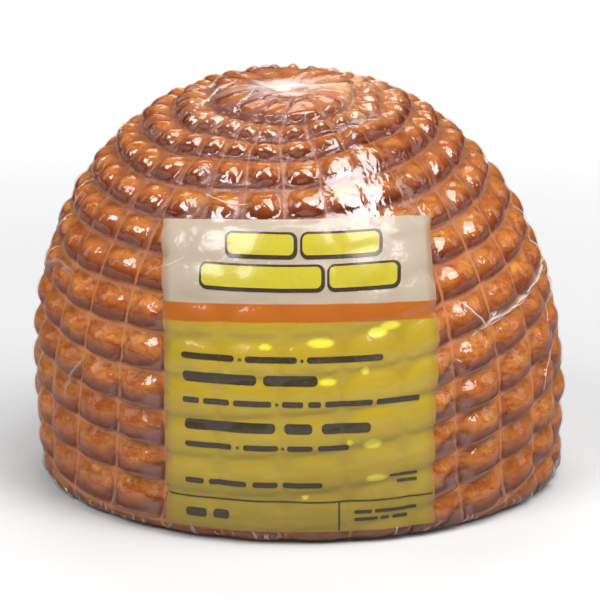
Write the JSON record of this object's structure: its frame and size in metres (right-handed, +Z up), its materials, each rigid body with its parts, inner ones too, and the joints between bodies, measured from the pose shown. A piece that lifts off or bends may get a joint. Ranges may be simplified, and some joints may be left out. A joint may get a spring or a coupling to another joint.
{
  "type": "packed honey ham",
  "caption": "Dome-shaped boneless ham sealed in clear film, pillowed all over by the marks of a net, with a printed panel on the front. It stands on its flat cut face.",
  "frame": {"origin": "middle of the whole at the flat base it stands on", "axes": "+Z up from the cut face to the gathered top, -Y the front with the printed panel, +X to the viewer's right"},
  "size_m": [0.1398, 0.1416, 0.1071],
  "materials": {
    "ham_in_film": "smoked brown ham surface under clear glossy film",
    "printed_film": "glossy film printed with fields of beige, orange and yellow"
  },
  "bodies": {
    "root": {"wrapped_ham": "ham_in_film", "printed_panel": "printed_film"}
  },
  "joints": []
}
